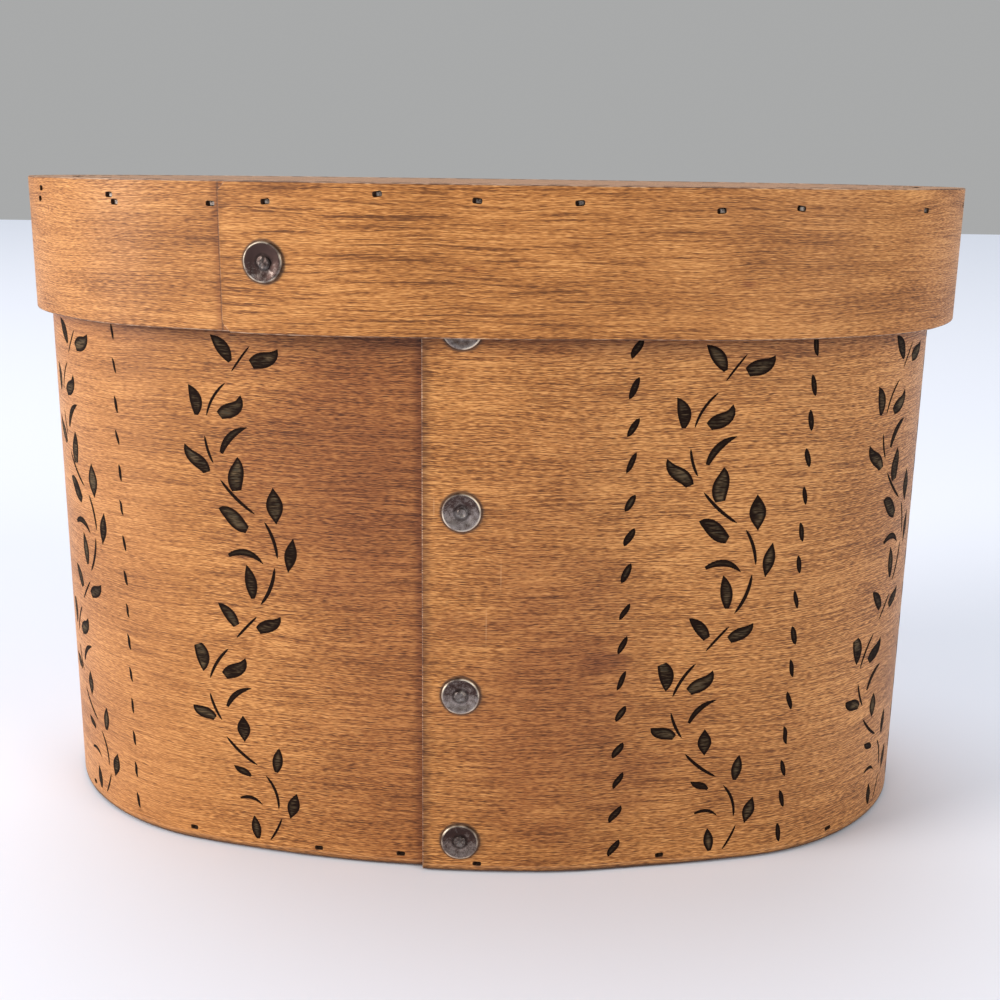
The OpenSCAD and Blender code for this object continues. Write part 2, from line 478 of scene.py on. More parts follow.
# %% [markdown]
# ## Wood grain
# The strips are a pale, close-grained wood under an amber stain. Close up it is all fine straight
# streaks, a third of a millimetre high and a centimetre or two long, with shorter and finer fibres among
# them. Over these lie longer dark lines, and broad soft patches where the stain took unevenly. Each is a
# noise stretched along the grain. Slow noises bend the lines very slightly first, and slip each row of
# fibres along the next, so the fibres never start in columns. The group gives a tone from dark to light,
# and a height.

# %% The wood grain group
# How far the slow noises move the grain, in millimetres
SWAY, RIPPLE, SLIP = 4.0, 0.5, 9.0
STREAK_SHARE, FIBRE_SHARE, FLECK_SHARE = 1.15, 1.85, 0.12
FIBRE_RISE = 0.6
grain, given, result = new_group(
    "wood_grain", {"Place": (0, 0, 0), "Clouds": 0.4, "Lines": 0.2, "Bands": 0.35, "Fine": 1.0},
    ["Tone", "Height"])
sway = times(noise(given["Place"], (0.02, 0.045, 0.06), 1), SWAY)
ripple = times(noise(given["Place"], (0.12, 0.3, 0.2), 1), RIPPLE)
slip = times(noise(given["Place"], (0.004, 2.2, 0.06), 2), SLIP)
shift = add(grain, "CombineXYZ", {"X": slip, "Y": plus(sway, ripple)}).outputs[0]
lines = vector_maths("ADD", given["Place"], shift)
streaks = noise(lines, (0.06, 3.0, 1), 1)
fibres = noise(lines, (0.5, 5.0, 1), 1)
long_lines = noise(lines, (0.03, 1.0, 1), 3, 0.65)
bands = noise(lines, (0.01, 0.14, 1), 2)
clouds = noise(given["Place"], (0.02, 0.035, 1), 3)
tone = 0.5
layers = [(streaks, times(given["Fine"], STREAK_SHARE)), (fibres, times(given["Fine"], FIBRE_SHARE)),
          (bands, given["Bands"]), (clouds, given["Clouds"])]
for layer, weight in layers:
    tone = plus(tone, swing(layer, weight))
dark_lines = times(remap(long_lines, 0.5, 0.7), given["Lines"])
flecks = times(remap(noise(lines, (0.8, 2.2, 1.7), 1), 0.68, 0.76), FLECK_SHARE)
fill(result, {"Tone": minus(minus(tone, dark_lines), flecks),
              "Height": plus(streaks, times(fibres, FIBRE_RISE))})
print("wood grain has", len(grain.nodes), "nodes")

# %% [markdown]
# ## Masks for marks on the wood
# Stain gathers along a lap, and handling leaves smudges and scratches. Some marks are painted shade: under
# the lid's rim and along the wall's foot, and, with grime, along each lap's step. A thin dark ring lies round
# each washer. Each is a mask read from the wood's own place. One measures the distance to a line or a ring
# on the wood, the other the distance to a point. A little noise, stretched along the grain, keeps them from
# looking drawn.

# %% Masks for lines and spots
line_mask, given, result = new_group(
    "line_on_wood", {"Distance": 0.0, "Place": (0, 0, 0), "Width": 1.0}, ["Mask"])
ragged = noise(given["Place"], (0.06, 0.5, 1), 3)
off = times(maths("ABSOLUTE", given["Distance"]), plus(0.4, times(ragged, 1.2)))
fill(result, {"Mask": remap(maths("DIVIDE", off, given["Width"]), 1.0, 0.0)})

spot_mask, given, result = new_group(
    "spot_on_wood", {"Place": (0, 0, 0), "Middle": (0, 0, 0), "Size": (1, 1, 1)}, ["Mask"])
away = vector_maths("DIVIDE", vector_maths("SUBTRACT", given["Place"], given["Middle"]), given["Size"])
ragged = noise(given["Place"], (0.05, 0.12, 1), 3)
fill(result, {"Mask": remap(plus(vector_maths("LENGTH", away), swing(ragged, 1.2)), 1.0, 0.2)})
print("masks", line_mask.name, spot_mask.name)

# %% [markdown]
# ## The wood materials
# One function makes every wood finish from its colours and a list of the marks on that piece. Old stain and
# grime, and the painted shade in their colours, darken what is under them; dirt, painted shade and worn wood
# cover it. The colours are linear values, and the marks' places are in millimetres along and up the strip.

# %% Wood finishes
DARK_BROWN, RED_BROWN = (0.12, 0.037, 0.005), (0.275, 0.096, 0.018)
AMBER, HONEY = (0.455, 0.181, 0.043), (0.69, 0.336, 0.107)
# Stain, grime and dirt here also paint shade: under the lid's rim, along the laps' steps and along the wall's
# foot
STAIN_AND_SHADE, GRIME_AND_SHADE = ((0.42, 0.24, 0.15, 1), "MULTIPLY"), ((0.35, 0.33, 0.36, 1), "MULTIPLY")
DIRT_AND_SHADE, WORN = ((0.05, 0.025, 0.015, 1), "MIX"), ((0.62, 0.38, 0.2, 1), "MIX")
SHEEN = 0.36
BUMP, BUMP_STRENGTH = 0.04 * mm, 0.5


def mark_mask(place, kind, *where):
    """The mask of a spot (middle, size), a ring (middle, radius, width) or a line (axis, at, width)."""
    if kind == "spot":
        middle, size = where
        return use_group(spot_mask, Place=place, Middle=(*middle, 0), Size=(*size, 1))["Mask"]
    if kind == "ring":
        middle, start, width = where
        measured = vector_maths("DISTANCE", place, (*middle, 0))
    else:
        axis, start, width = where
        measured = axis_of(place, axis)
    return use_group(line_mask, Distance=minus(measured, start), Place=place, Width=width)["Mask"]


def change_along(place, value):
    """A plain value, or one that changes along the wood: (middle, near, far, value near, value far)."""
    if not isinstance(value, tuple):
        return value
    middle, *change = value
    return remap(maths("ABSOLUTE", minus(axis_of(place, "X"), middle)), *change)


def wood_colour(place, stops, clouds, lines, marks=(), bands=0.35, fine=1):
    """Grain colour with the marks laid over it in order. `lines` and `fine` may change along the wood."""
    lines, fine = [change_along(place, value) for value in (lines, fine)]
    out = use_group(grain, Place=place, Clouds=clouds, Lines=lines, Bands=bands, Fine=fine)
    colour = ramp(out["Tone"], stops)
    for (over, blend), strength, *mark in marks:
        colour = mix(times(mark_mask(place, *mark), strength), colour, over, blend)
    return colour, out


def wood_material(name, stops, clouds=0.4, lines=0.2, roughness=(0.52, 0.4), sheen=SHEEN, **grown):
    material, tree, shader = new_material(name)
    colour, out = wood_colour(wood_place(tree), stops, clouds, lines, **grown)
    fill(shader, {"Base Color": colour, "Roughness": remap(out["Tone"], 0.2, 0.8, *roughness),
                  "Specular IOR Level": sheen, "Normal": bumps(out["Height"], BUMP_STRENGTH, BUMP)})
    return material


# The colours of each finish, from its darkest tone to its lightest
STAINED = [(0.12, DARK_BROWN), (0.34, RED_BROWN), (0.54, AMBER), (0.86, HONEY)]
PALE = [(0.3, (0.1, 0.04, 0.018)), (0.5, (0.23, 0.11, 0.055)), (0.8, (0.5, 0.32, 0.2))]
UNSTAINED = [(0.12, (0.3, 0.17, 0.08)), (0.4, (0.5, 0.32, 0.17)),
             (0.6, (0.62, 0.43, 0.25)), (0.9, (0.74, 0.56, 0.37))]
body_lap, lid_lap = BODY_LAP_AT / mm, LID_LAP_AT / mm
# Behind a lap the wood's own places go on past a whole turn, so its inner end is counted from there
BODY_BACK, LID_BACK = body_lap + oval_length(0) / mm, lid_lap + oval_length(LID_OUT) / mm
LID_EDGE = LID_Z / mm


def washer_ring(along, z, rail):
    """A thin dark ring in the wood round a washer."""
    middle = (rail_x(rail, along) + rail["lap_at"]) / mm, z / mm
    return DIRT_AND_SHADE, 0.85, "ring", middle, WASHER_R + 0.2, 0.75


body_marks = [
    # The lap: grime with painted shade along its step, and old stain on the wood behind it
    (GRIME_AND_SHADE, 0.75, "line", "X", body_lap, 3.4), (STAIN_AND_SHADE, 0.5, "line", "X", BODY_BACK, 3),
    (STAIN_AND_SHADE, 0.5, "line", "X", BODY_BACK, 56), (STAIN_AND_SHADE, 0.5, "spot", (BODY_BACK - 26, 112), (44, 56)),
    # Painted shadow under the lid's rim, in the stain's colour
    (STAIN_AND_SHADE, 0.45, "line", "Y", LID_EDGE, 8), (STAIN_AND_SHADE, 0.6, "line", "Y", LID_EDGE, 1.8),
    (STAIN_AND_SHADE, 0.55, "spot", (22, 45), (42, 62)), (STAIN_AND_SHADE, 0.2, "spot", (14, 100), (34, 60)),
    (STAIN_AND_SHADE, 0.4, "spot", (37, 62), (9, 4)), (STAIN_AND_SHADE, 0.15, "spot", (68, 30), (50, 30)),
    (WORN, 0.25, "spot", (8.5, 86), (0.25, 6)), (WORN, 0.25, "spot", (4.8, 72), (0.25, 9)),
    (WORN, 0.3, "spot", (-9, 104), (0.3, 4)), (WORN, 0.2, "line", "Y", 2.0, 0.5),
    # Painted contact shadow along the wall's foot
    (DIRT_AND_SHADE, 1.0, "line", "Y", 0.6, 1.3)]
body_marks += [washer_ring(along, z, body_rail) for along, z in body_rivet_places]
band_wood = wood_material("body_finish", STAINED, lines=0.15, marks=body_marks,
                          fine=(BODY_BACK - 105, 25, 65, 0.6, 1.12))
lid_marks = [
    # The lap: grime with painted shade along its step, stain on the wood behind it, and a thin dark line of
    # dirt and painted shade in the step's corner
    (GRIME_AND_SHADE, 0.4, "line", "X", lid_lap, 2), (STAIN_AND_SHADE, 0.45, "line", "X", LID_BACK, 3),
    (DIRT_AND_SHADE, 0.6, "line", "X", LID_BACK, 0.6), (STAIN_AND_SHADE, 0.6, "spot", (-1, 17), (2.5, 1.2)),
    (STAIN_AND_SHADE, 0.6, "spot", (68, 14), (3, 1.5)), (STAIN_AND_SHADE, 0.7, "spot", (LID_BACK - 61.5, 29), (0.9, 2.4)),
    (STAIN_AND_SHADE, 0.5, "spot", (LID_BACK - 59, 28.5), (0.7, 2.2)),
    washer_ring(lid_rivet_place[0], lid_rivet_place[1] - LID_Z, lid_rail)]
lid_wood = wood_material("lid_finish", STAINED, lines=(-15, 40, 85, 0.42, 0.1), marks=lid_marks,
                         bands=0.6, clouds=0.65, fine=0.75)
edge_wood = wood_material("edge_finish", PALE, clouds=1.2)
board_wood = wood_material("board_finish", STAINED, roughness=(0.45, 0.3), sheen=0.5)
inside_wood = wood_material("inside_finish", UNSTAINED, lines=0.1, roughness=(0.75, 0.65))
# Painted shade: a dark brown for the walls of the pits and the holes, and for the wall's foot
painted_shade_finish = plain_material("painted_shade_finish", (0.07, 0.028, 0.012), 0.8)
print("wood materials", [m.name for m in (band_wood, lid_wood, edge_wood, board_wood, inside_wood)])


def dress(piece, *materials):
    piece.data.materials.clear()
    for material in materials:
        piece.data.materials.append(material)


# The slots of a band's materials. The first one, 0, is its outer face's
INSIDE, PAINTED_SHADE, WORN_CORNER = 1, 2, 3


def line_inside(strip, height, length, sole=None):
    """Gives a flat strip's inner faces their own material, its pits and holes the dark painted shade, and
    perhaps its lower edge the slot `sole`.
    """
    for face in strip.data.polygons:
        x, y, z = face.center
        within = EDGE_ROUND < z < height - EDGE_ROUND and PIT_W < x < length - LAP_LEN
        if sole is not None and z < EDGE_ROUND:
            face.material_index = sole
        elif within and PIT_MARGIN < y < STRIP_T - PIT_MARGIN:
            face.material_index = PAINTED_SHADE
        elif face.normal.y > 0.5:
            face.material_index = INSIDE


# %% [markdown]
# ## A strip of wood
# The strip starts as a grid, as long as the rail and as high as the band. A grid has columns to bend at
# and rows to keep the wall from being one flat face. Solidify gives it its thickness. Bevel breaks its
# corners as handling would, and gives them the pale wood. A Boolean sinks the pits and the rivets' holes.
# The inner end is thinned to a feather, as the maker shaves it, so the lap starts without a step.

# %% Flat strips
CELL = 2.5 * mm
ROWS_OVER = 14 * mm
SEAM_GAP = 0.06 * mm
EDGE_ROUND = 0.3 * mm
FEATHER_T = 0.15 * mm
PIT_W, PIT_H, PIT_DEPTH = 2.4 * mm, 1.4 * mm, 1.25 * mm
PIT_MARGIN = 0.02 * mm
PIT_ROUND, PIT_TURN = 0.45 * mm, 0.15
HOLE_R, HOLE_STEPS = 1.55 * mm, 24
STRIP_T = BAND_T - SEAM_GAP
CORNER = math.radians(60)


def pit_cutter(x, z, turn):
    """A brad's pit: a small block with rounded corners, standing through the face."""
    cutter = primitive(bpy.ops.mesh.primitive_cube_add, "pit", size=1, location=(x, 0, z),
                       rotation=(0, turn, 0), scale=(PIT_W, 2 * PIT_DEPTH, PIT_H))
    modify(cutter, "BEVEL", width=PIT_ROUND, segments=2, limit_method="NONE")
    return cutter


def hole_cutter(x, z):
    return primitive(bpy.ops.mesh.primitive_cylinder_add, "hole", radius=HOLE_R, depth=6 * BAND_T,
                     vertices=HOLE_STEPS, location=(x, 0, z), rotation=(math.pi / 2, 0, 0))


def break_edges(piece, width, **settings):
    """Rounds every sharp edge a little, as sandpaper does."""
    modify(piece, "BEVEL", width=width, segments=2, limit_method="ANGLE", angle_limit=CORNER, **settings)


def flat_strip(name, rail, height, pits, rivets, finish, clip=0, end_slope=0):
    """The strip before bending, with its outer face at Y 0 and its thickness towards +Y."""
    length = rail["length"]
    strip = primitive(bpy.ops.mesh.primitive_grid_add, name, stretch=(length, height, 1), size=1,
                      x_subdivisions=round(length / CELL), y_subdivisions=round(height / ROWS_OVER),
                      location=(length / 2, 0, height / 2), rotation=(math.pi / 2, 0, 0))
    dress(strip, finish, inside_wood, painted_shade_finish, edge_wood)
    if clip:
        slant = math.sqrt(0.5)
        for z, down in ((height, 1), (0, -1)):
            cut = {"plane_co": (clip, 0, z), "plane_no": (-slant, 0, down * slant), "clear_outer": True}
            edit(strip, (bpy.ops.mesh.bisect, cut))
    if end_slope:
        edit(strip, (bpy.ops.mesh.bisect, {"plane_co": (end_slope, 0, 0), "plane_no": (1, 0, 0)}))
    modify(strip, "SOLIDIFY", thickness=STRIP_T, offset=-1)
    break_edges(strip, EDGE_ROUND, material=WORN_CORNER)
    draw = random.Random(3)
    cutters = [pit_cutter(rail_x(rail, along), z, draw.uniform(-PIT_TURN, PIT_TURN)) for along, z in pits]
    total = oval_length(rail["grow"])
    for along, z in rivets:
        outer = rail_x(rail, along)
        cutters += [hole_cutter(outer, z), hole_cutter(outer + total, z)]
    cutter = joined(cutters, "cutter")
    modify(strip, "BOOLEAN", object=cutter, operation="DIFFERENCE", solver="EXACT")
    drop_object(cutter)
    for vertex in strip.data.vertices:
        x, y, z = vertex.co
        thin = ease(min(max((x - length + TAPER_LEN) / TAPER_LEN, 0), 1)) * (STRIP_T - FEATHER_T)
        if end_slope and x < end_slope:
            thin = 0.5 * STRIP_T * (1 - x / end_slope)
        vertex.co.y = thin + y * (1 - thin / STRIP_T)
    return strip


# %% [markdown]
# ## Coordinates that follow the wood
# The grain, the stain and the worn edges all follow the strip, not the room. So each piece gets a UV map
# in metres before it is bent: U is the place along the band, and V is the height. On the strip's edges V
# goes on over the corner, so a pale line worn along a corner stays a line.

# %% UV maps in metres
def map_wood(piece, lap_at):
    """U is the distance along the wood, V its height. The map folds over the edges, like paper."""
    layer = piece.data.uv_layers.get(UV_NAME) or piece.data.uv_layers.new(name=UV_NAME)
    for face in piece.data.polygons:
        fold = round(face.normal.z) if abs(face.normal.z) > 0.8 else 0
        for loop in face.loop_indices:
            x, y, z = piece.data.vertices[piece.data.loops[loop].vertex_index].co
            layer.data[loop].uv = (x + lap_at, z + fold * y)


def map_flat(piece):
    """For a flat or a turned piece, U and V are its own X and Y."""
    layer = piece.data.uv_layers.new(name=UV_NAME)
    for loop in piece.data.loops:
        layer.data[loop.index].uv = piece.data.vertices[loop.vertex_index].co.xy


# %% [markdown]
# ## The two bands
# Hand-planed edges are never quite straight, so the free edges wander by a few tenths of a millimetre,
# always inwards, so the box keeps its size. The wall's foot is worn back a little more, so the box stands
# on its bottom board and a dark line shows under the wall. Painted shade darkens the foot's edge as well.
# The lid's strip has clipped corners and a sloping end.

# %% Bend the bands
WANDER = 0.35 * mm
LONG_WAVE, SHORT_WAVE = 23 * mm, 9.1 * mm
FOOT_WORN = 0.4 * mm


def waver(x, seed):
    """A slow wander from 0 to 1 along an edge."""
    return 0.5 + 0.25 * (math.sin(x / LONG_WAVE + seed) + math.sin(x / SHORT_WAVE + 2.3 * seed))


def wander_edge(strip, edge_z, seed, reach, worn=0):
    """Draws one long edge in a little, less and less towards the middle of the strip."""
    inwards = 1 if edge_z == 0 else -1
    for vertex in strip.data.vertices:
        share = max(0, 1 - abs(vertex.co.z - edge_z) / reach)
        vertex.co.z += inwards * share * (worn + WANDER * waver(vertex.co.x, seed))


body_band = flat_strip("body_wall", body_rail, BODY_H, body_brads, body_rivet_places, band_wood)
# The wall's lower edge takes the dark painted shade, as a contact shadow under the foot
line_inside(body_band, BODY_H, body_rail["length"], sole=PAINTED_SHADE)
wander_edge(body_band, BODY_H, seed=1, reach=30 * mm)
wander_edge(body_band, 0, seed=2, reach=12 * mm, worn=FOOT_WORN)
map_wood(body_band, BODY_LAP_AT)
bend(body_band, body_rail)
smooth(body_band)

lid_pits = [(along, z - LID_Z) for along, z in lid_brads]
lid_holes = [(lid_rivet_place[0], lid_rivet_place[1] - LID_Z)]
lid_band = flat_strip("lid_rim", lid_rail, LID_H, lid_pits, lid_holes, lid_wood, clip=2.6 * mm,
                      end_slope=0.8 * mm)
line_inside(lid_band, LID_H, lid_rail["length"])
wander_edge(lid_band, 0, seed=4, reach=20 * mm)
map_wood(lid_band, LID_LAP_AT)
bend(lid_band, lid_rail)
lid_band.location.z = LID_Z
apply_place(lid_band)
smooth(lid_band)
print("bands", len(body_band.data.polygons), len(lid_band.data.polygons), "faces")

# %% [markdown]
# ## The boards
# The bottom and the lid's top are solid boards, cut to the inside of their bands. Each starts as a
# filled circle whose rim is moved out to the oval. It is then extruded to its thickness, and its edges
# are rounded a little. Their grain runs along the box, so U is X and V is Y.

# %% Bottom and lid boards
BOARD_CORNERS = 240
BOARD_ROUND = 0.35 * mm
BOARD_RIM = 6 * mm
BOARD_FIT = 0.08 * mm
BOARD_SUNK = 0.08 * mm


def oval_board(name, grow, z, thickness, shift):
    """A board whose rim stands `grow` outside the body's face."""
    board = primitive(bpy.ops.mesh.primitive_circle_add, name, vertices=BOARD_CORNERS, radius=END_R,
                      fill_type="NGON", location=(0, 0, 0))
    length = oval_length(grow)
    for vertex in board.data.vertices:
        turn = math.atan2(vertex.co.y, vertex.co.x) / (2 * math.pi)
        vertex.co = on_oval(length * (turn + 0.25), grow, 0)
    edit(board, (bpy.ops.mesh.inset, {"thickness": BOARD_RIM}),
         (bpy.ops.mesh.extrude_region_move, {"TRANSFORM_OT_translate": {"value": (0, 0, thickness)}}))
    edit(board, (bpy.ops.mesh.normals_make_consistent, {"inside": False}))
    break_edges(board, BOARD_ROUND)
    board.data.transform(Matrix.Translation((shift, 0, z)))
    map_flat(board)
    dress(board, board_wood)
    smooth(board)
    return board


bottom = oval_board("bottom_plate", -BAND_T - BOARD_FIT, 0, tenth(board_hi.z), 0)
top_board_lo, top_board_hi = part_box("lid_board")
top_board_t = tenth(top_board_hi.z - top_board_lo.z) - BOARD_SUNK
lid_top = oval_board("lid_plate", LID_OUT - BAND_T - BOARD_FIT, tenth(top_board_lo.z), top_board_t, LID_SHIFT)
print("boards", len(bottom.data.polygons), "faces each")

# %% [markdown]
# ## Turned metal
# A rivet and its washer are round, so each is a profile spun about its axis. The profile is written from
# a few sizes in millimetres. Hammering leaves no two alike, so a slow noise dents each face a little.

# %% Spin a profile
SPIN_STEPS = 48
SEED_NAME, SOOT_NAME = "seed", "soot"


def turned(name, profile):
    """Spins a profile of [radius, height] pairs in millimetres about Z."""
    mesh = bpy.data.meshes.new(name)
    points = [(r * mm, 0, h * mm) for r, h in profile]
    closed = [(i, (i + 1) % len(points)) for i in range(len(points) - (profile[0][0] == 0))]
    mesh.from_pydata(points, closed, [])
    piece = new_object(name, mesh)
    spin = {"steps": SPIN_STEPS, "angle": 2 * math.pi, "center": (0, 0, 0), "axis": (0, 0, 1)}
    edit(piece, (bpy.ops.mesh.spin, spin), (bpy.ops.mesh.remove_doubles, {"threshold": 0.002 * mm}),
         (bpy.ops.mesh.normals_make_consistent, {"inside": False}))
    return piece


def dent(piece, seed, depth, grain_size, above):
    """Presses a slow noise into everything above a height."""
    for vertex in piece.data.vertices:
        if vertex.co.z > above:
            place = vertex.co / grain_size + Vector((seed * 7.3, seed * 3.1, 0))
            vertex.co.z += depth * lumps.noise(place)


def store(piece, name, values):
    """Stores a value with each vertex, for a material to read."""
    piece.data.attributes.new(name, "FLOAT", "POINT").data.foreach_set("value", values)


def map_face(piece, seed, soot):
    """A turned piece's UV tells the distance from its middle. Its seed and its soot are stored with it."""
    map_flat(piece)
    store(piece, SEED_NAME, [seed] * len(piece.data.vertices))
    store(piece, SOOT_NAME, [soot] * len(piece.data.vertices))


def seat(along, z, rail):
    """The frame of a place on a band's outer face: X runs along, Y up and Z straight out of the wood."""
    point, angle = station(along, rail["grow"])
    out = Vector((math.cos(angle), math.sin(angle), 0))
    rise = lap_rise((along - rail["lap_at"]) % oval_length(rail["grow"]))
    place = point + rise * out + Vector((rail["shift"], 0, z))
    up = Vector((0, 0, 1))
    return Matrix.Translation(place) @ Matrix((up.cross(out), up, out)).transposed().to_4x4()


# %% [markdown]
# ## Rivets and washers
# Each lap is held by flat-headed rivets. The head is inside the box. The end comes out through a dished
# washer, and is hammered over in the dish. No two are hammered alike, so the dish's depth, the end's
# hollow and the way it is bent over differ from one to the next.

# %% Model the rivets and washers
WASHER_RIM, WASHER_SHEET = 0.8, 0.3
SHANK_R, PEEN_TOP = 1.5, 0.75
HEAD_R, HEAD_T = 3.2, 0.9
CLEARANCE = 0.02
TWO_PLIES = -2 * BAND_T / mm - CLEARANCE
DISH_STEPS, DISH_STEEPNESS = 9, 1.35
# The dents: how deep, how wide, and how far out of the wood they start. A bent end moves aside and down
WASHER_DENTS, RIVET_DENTS = (0.16 * mm, 1.6 * mm, 0.1 * mm), (0.3 * mm, 0.9 * mm, (WASHER_SHEET + 0.1) * mm)
BENT_ASIDE, BENT_DOWN = 0.4 * mm, 0.3 * mm
# The rounding of a washer's rim: how far in from its edge, and how high
RIM_ROUND = [(0, 0), (0, 0.42), (0.06, 0.66), (0.2, 0.78), (0.4, WASHER_RIM)]
# For each rivet: the dish's depth, the end's radius, its hollow, how far it is bent over, soot, a seed
HAMMERED = {"body_1": (0.5, 1.6, 0.45, 0.1, 0.08, 1), "body_2": (0.48, 1.55, 0.15, 0.5, 0.02, 2),
            "body_3": (0.4, 1.25, 0.4, 0.3, 0.02, 3), "body_4": (0.36, 1.3, 0.55, 0.2, 0.04, 4),
            "lid": (0.52, 1.6, 0.0, 0.9, 0.18, 5)}


def washer_profile(depth):
    hole_r = SHANK_R + 0.05
    rim = [(WASHER_R - inwards, height) for inwards, height in RIM_ROUND]
    dish = []
    for i in range(1, DISH_STEPS + 1):
        u = i / DISH_STEPS
        r = rim[-1][0] * (1 - u) + hole_r * u
        dish.append((r, WASHER_RIM - depth * ease(min(1, u * DISH_STEEPNESS))))
    return rim + dish + [(hole_r, 0)]


def rivet_profile(end_r, hollow):
    """From the middle of the hammered end, over its edge and down the shank, to the head inside."""
    seat_h = WASHER_SHEET + CLEARANCE
    end = [(0, hollow), (0.5, 0.8 * hollow), (0.8, 0.1), (1.1, 0), (end_r - 0.3, 0.05), (end_r, 0.25)]
    shank = [(end_r, seat_h), (SHANK_R, seat_h), (SHANK_R, TWO_PLIES)]
    head = [(HEAD_R, 0), (HEAD_R, 0.45), (HEAD_R - 0.15, 0.75), (HEAD_R - 0.5, HEAD_T), (0, HEAD_T)]
    return ([(r, PEEN_TOP - down) for r, down in end] + shank
            + [(r, TWO_PLIES - down) for r, down in head])


def rivet_pair(name, along, z, rail):
    depth, end_r, hollow, bent, soot, seed = HAMMERED[name]
    washer = turned(f"washer_{name}", washer_profile(depth))
    dent(washer, seed, *WASHER_DENTS)
    rivet = turned(f"rivet_{name}", rivet_profile(end_r, hollow))
    dent(rivet, seed + 10, *RIVET_DENTS)
    for vertex in rivet.data.vertices:
        if vertex.co.z > RIVET_DENTS[-1]:
            vertex.co.x += bent * BENT_ASIDE * (1 if seed % 2 else -1)
            vertex.co.y -= bent * BENT_DOWN
    for piece, finish, dark in ((washer, washer_finish, soot), (rivet, rivet_finish, soot / 2)):
        for vertex in piece.data.vertices:
            vertex.co.z = min(vertex.co.z, (WASHER_RIM + CLEARANCE) * mm)
        map_face(piece, seed, dark)
        dress(piece, finish)
        piece.data.transform(seat(along, z, rail))
        smooth(piece, 50)
    return washer, rivet


# %% [markdown]
# ## Old steel
# The washers are plain steel gone dull. Their rims are rubbed bright, with painted highlights in arcs, dirt
# lies round the rivet's end, and the faces are mottled, with a painted reflection that makes them darker
# above than below. The distance from the middle comes from the piece's own UV map, and a seed stored with
# each piece keeps any two from being mottled alike.

# %% Metal finishes
# In millimetres from the washer's middle: where the dirt lies, and where the rim is rubbed bright and painted
# with highlights
DIRT_R, BRIGHT_RIM_FROM, BRIGHT_RIM_TO = 1.9, 4.75, 5.0
GREASE = (0.02, 0.015, 0.014, 1)


def steel(name, dark, light, rim, roughness):
    material, tree, shader = new_material(name)
    place = wood_place(tree)
    apart = add(tree, "CombineXYZ", {"Z": times(stored(tree, SEED_NAME), 7.0)}).outputs[0]
    spot = vector_maths("ADD", place, apart)
    radius = vector_maths("LENGTH", place)
    blotches = noise(spot, (0.7, 0.7, 1), 3, 0.6)
    specks = noise(spot, (4, 4, 1), 3, 0.6)
    mottle = plus(times(blotches, 0.55), times(specks, 0.45))
    # Painted reflection: the face is lighter below and darker above
    painted_reflection = times(remap(axis_of(place, "Y"), 2.5, -2.5, -0.5, 0.5), 0.16)
    mottle = minus(plus(mottle, painted_reflection), stored(tree, SOOT_NAME))
    colour = ramp(mottle, [(0.38, dark), (0.64, light)])
    dirt = remap(maths("ABSOLUTE", minus(radius, DIRT_R)), 0.6, 0.1, 0.0, 0.6)
    colour = mix(dirt, colour, GREASE)
    # Painted highlights: the rim is rubbed bright in arcs that stand for its highlights
    rubbed_and_highlit = remap(plus(radius, times(specks, 0.4)), BRIGHT_RIM_FROM, BRIGHT_RIM_TO)
    highlight_arcs = remap(noise(spot, (0.2, 0.2, 1), 1), 0.42, 0.6, 0.1, 0.9)
    colour = mix(times(rubbed_and_highlit, highlight_arcs), colour, (*rim, 1))
    fill(shader, {"Base Color": colour, "Metallic": 1.0, "Roughness": remap(mottle, 0.35, 0.65, *roughness),
                  "Normal": bumps(mottle, 0.4, 0.08 * mm)})
    return material


washer_finish = steel("washer_finish", (0.06, 0.037, 0.033), (0.34, 0.29, 0.265), (0.8, 0.7, 0.56),
                      (0.5, 0.32))
rivet_finish = steel("rivet_finish", (0.07, 0.05, 0.045), (0.33, 0.3, 0.28), (0.33, 0.3, 0.28), (0.5, 0.32))
pairs = {}
for i, (along, z) in enumerate(body_rivet_places, 1):
    pairs[f"body_{i}"] = rivet_pair(f"body_{i}", along, z, body_rail)
pairs["lid"] = rivet_pair("lid", *lid_rivet_place, lid_rail)
print(len(pairs), "rivets with their washers")

# %% [markdown]
# ## Brads
# Small cut brads go through the band into each board. A brad is a block with a bevelled head, whose back
# face is inset and drawn out into the shank. Each head sits to one side of its pit, turned a little.

# %% Model one brad and copy it
BRAD_SUNK, BRAD_HEAD_T, BRAD_LEN = 0.45 * mm, 0.8 * mm, 15 * mm
BRAD_W, BRAD_H, BRAD_ASIDE = 1.4 * mm, 1.15 * mm, 0.4 * mm
BRAD_TAPER, BRAD_ROUND, BRAD_TURN = 0.35 * mm, 0.12 * mm, 0.1
brad_finish = steel("brad_finish", (0.04, 0.025, 0.017), (0.36, 0.31, 0.27), (0.2, 0.15, 0.12), (0.6, 0.4))


def brad_blank():
    brad = primitive(bpy.ops.mesh.primitive_cube_add, "brad", size=1, scale=(BRAD_W, BRAD_H, BRAD_HEAD_T),
                     location=(BRAD_ASIDE, 0, -BRAD_SUNK - BRAD_HEAD_T / 2))
    bpy.ops.object.mode_set(mode="EDIT")
    bpy.ops.mesh.select_mode(type="FACE")
    bpy.ops.mesh.select_all(action="DESELECT")
    bpy.ops.object.mode_set(mode="OBJECT")
    for face in brad.data.polygons:
        face.select = face.normal.z < -0.5
    bpy.ops.object.mode_set(mode="EDIT")
    bpy.ops.mesh.inset(thickness=BRAD_TAPER)
    bpy.ops.mesh.extrude_region_move(TRANSFORM_OT_translate={"value": (0, 0, -BRAD_LEN)})
    bpy.ops.object.mode_set(mode="OBJECT")
    modify(brad, "BEVEL", width=BRAD_ROUND, segments=1, limit_method="ANGLE")
    return brad


